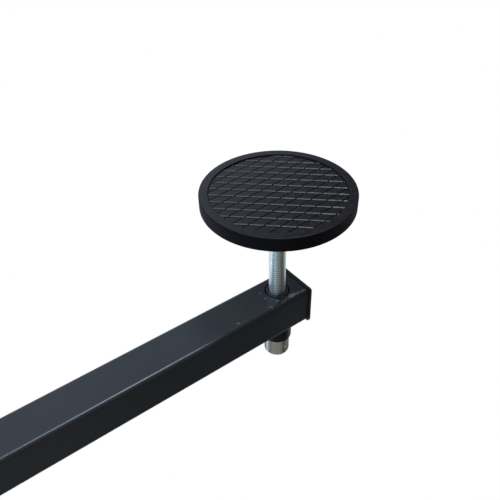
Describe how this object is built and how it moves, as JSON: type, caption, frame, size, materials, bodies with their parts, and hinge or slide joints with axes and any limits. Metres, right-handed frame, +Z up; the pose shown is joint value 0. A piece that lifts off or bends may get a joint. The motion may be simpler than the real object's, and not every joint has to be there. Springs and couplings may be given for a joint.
{
  "type": "engine support bar",
  "caption": "Telescopic square steel bar on rubber-padded screw feet, with sliding hook bolts and wing nuts, for holding an engine up from above.",
  "frame": {"origin": "middle of the bar's length and width, on the floor that the pads' soles stand on", "axes": "+X along the bar to its right-hand foot, +Y across the bar, +Z up"},
  "size_m": [1.372, 0.102, 0.2595],
  "materials": {
    "arm_paint": "satin powder coat",
    "beam_paint": "satin powder coat",
    "black_plastic": "fine moulded grain",
    "zinc": "bright zinc plate",
    "pad_rubber": "moulded black rubber",
    "nylon": "natural nylon",
    "brass": "turned"
  },
  "bodies": {
    "beam": {"main_beam": "beam_paint", "left_beam_bush": "black_plastic", "left_clamp_nut": "beam_paint", "right_beam_bush": "black_plastic", "right_clamp_nut": "beam_paint"},
    "left_arm": {"left_arm": "arm_paint", "left_arm_glide": "black_plastic", "left_arm_cap": "black_plastic", "left_foot_sleeve": "arm_paint", "left_foot_nut": "arm_paint"},
    "left_clamp_shoe": {"left_clamp_shoe": "brass"},
    "left_clamp_screw": {"left_clamp_screw": "zinc", "left_clamp_knob": "black_plastic"},
    "left_foot_carrier": {"left_foot_washer": "zinc"},
    "left_foot_stud": {"left_foot_stud": "zinc", "left_stop_collar": "zinc", "left_stop_pin": "zinc"},
    "left_foot_pad": {"left_foot_pad": "pad_rubber", "left_foot_plate": "zinc"},
    "left_saddle": {"left_saddle": "beam_paint"},
    "left_thrust_washer": {"left_thrust_washer": "zinc"},
    "left_hook": {"left_hook_bolt": "zinc", "left_hook_stop_nut": "zinc", "left_hook_stop_ring": "nylon"},
    "left_wing_nut": {"left_wing_nut": "zinc"},
    "right_arm": {"right_arm": "arm_paint", "right_arm_glide": "black_plastic", "right_arm_cap": "black_plastic", "right_foot_sleeve": "arm_paint", "right_foot_nut": "arm_paint"},
    "right_clamp_shoe": {"right_clamp_shoe": "brass"},
    "right_clamp_screw": {"right_clamp_screw": "zinc", "right_clamp_knob": "black_plastic"},
    "right_foot_carrier": {"right_foot_washer": "zinc"},
    "right_foot_stud": {"right_foot_stud": "zinc", "right_stop_collar": "zinc", "right_stop_pin": "zinc"},
    "right_foot_pad": {"right_foot_pad": "pad_rubber", "right_foot_plate": "zinc"},
    "right_saddle": {"right_saddle": "beam_paint"},
    "right_thrust_washer": {"right_thrust_washer": "zinc"},
    "right_hook": {"right_hook_bolt": "zinc", "right_hook_stop_nut": "zinc", "right_hook_stop_ring": "nylon"},
    "right_wing_nut": {"right_wing_nut": "zinc"}
  },
  "joints": [
    {"name": "left_arm_slide", "type": "slide", "parent": "beam", "child": "left_arm", "axis": [-1, 0, 0], "range_m": [-0.075, 0.06]},
    {"name": "left_clamp_lift", "type": "slide", "parent": "beam", "child": "left_clamp_shoe", "axis": [0, 0, 1], "range_m": [0, 0.006]},
    {"name": "left_clamp_turn", "type": "hinge", "parent": "left_clamp_shoe", "child": "left_clamp_screw", "pos_m": [-0.335, 0, 0], "axis": [0, 0, 1], "range_deg": [0, 1440]},
    {"name": "left_foot_rise", "type": "slide", "parent": "left_arm", "child": "left_foot_carrier", "axis": [0, 0, 1], "range_m": [0, 0.0595]},
    {"name": "left_foot_turn", "type": "hinge", "parent": "left_foot_carrier", "child": "left_foot_stud", "pos_m": [-0.635, 0, 0], "axis": [0, 0, 1], "range_deg": [0, 12240]},
    {"name": "left_pad_swivel", "type": "hinge", "parent": "left_foot_carrier", "child": "left_foot_pad", "pos_m": [-0.635, 0, 0], "axis": [0, 0, 1], "continuous": true},
    {"name": "left_hook_shift", "type": "slide", "parent": "beam", "child": "left_saddle", "axis": [-1, 0, 0], "range_m": [-0.045, 0.045]},
    {"name": "left_hook_swivel", "type": "hinge", "parent": "left_saddle", "child": "left_thrust_washer", "pos_m": [-0.09, 0, 0], "axis": [0, 0, 1], "continuous": true},
    {"name": "left_hook_lower", "type": "slide", "parent": "left_thrust_washer", "child": "left_hook", "axis": [0, 0, -1], "range_m": [0, 0.09275]},
    {"name": "left_wing_turn", "type": "hinge", "parent": "left_thrust_washer", "child": "left_wing_nut", "pos_m": [-0.09, 0, 0], "axis": [0, 0, 1], "range_deg": [0, 19080]},
    {"name": "right_arm_slide", "type": "slide", "parent": "beam", "child": "right_arm", "axis": [1, 0, 0], "range_m": [-0.075, 0.06]},
    {"name": "right_clamp_lift", "type": "slide", "parent": "beam", "child": "right_clamp_shoe", "axis": [0, 0, 1], "range_m": [0, 0.006]},
    {"name": "right_clamp_turn", "type": "hinge", "parent": "right_clamp_shoe", "child": "right_clamp_screw", "pos_m": [0.335, 0, 0], "axis": [0, 0, 1], "range_deg": [0, 1440]},
    {"name": "right_foot_rise", "type": "slide", "parent": "right_arm", "child": "right_foot_carrier", "axis": [0, 0, 1], "range_m": [0, 0.0595]},
    {"name": "right_foot_turn", "type": "hinge", "parent": "right_foot_carrier", "child": "right_foot_stud", "pos_m": [0.635, 0, 0], "axis": [0, 0, 1], "range_deg": [0, 12240]},
    {"name": "right_pad_swivel", "type": "hinge", "parent": "right_foot_carrier", "child": "right_foot_pad", "pos_m": [0.635, 0, 0], "axis": [0, 0, 1], "continuous": true},
    {"name": "right_hook_shift", "type": "slide", "parent": "beam", "child": "right_saddle", "axis": [1, 0, 0], "range_m": [-0.045, 0.045]},
    {"name": "right_hook_swivel", "type": "hinge", "parent": "right_saddle", "child": "right_thrust_washer", "pos_m": [0.09, 0, 0], "axis": [0, 0, 1], "continuous": true},
    {"name": "right_hook_lower", "type": "slide", "parent": "right_thrust_washer", "child": "right_hook", "axis": [0, 0, -1], "range_m": [0, 0.09275]},
    {"name": "right_wing_turn", "type": "hinge", "parent": "right_thrust_washer", "child": "right_wing_nut", "pos_m": [0.09, 0, 0], "axis": [0, 0, 1], "range_deg": [0, 19080]}
  ],
  "couplings": [
    {"joint": "left_clamp_turn", "follows": "left_clamp_lift", "rad_per_m": 4188.8},
    {"joint": "left_foot_turn", "follows": "left_foot_rise", "rad_per_m": 3590.4},
    {"joint": "left_wing_turn", "follows": "left_hook_lower", "rad_per_m": 3590.4},
    {"joint": "right_clamp_turn", "follows": "right_clamp_lift", "rad_per_m": 4188.8},
    {"joint": "right_foot_turn", "follows": "right_foot_rise", "rad_per_m": 3590.4},
    {"joint": "right_wing_turn", "follows": "right_hook_lower", "rad_per_m": 3590.4}
  ]
}
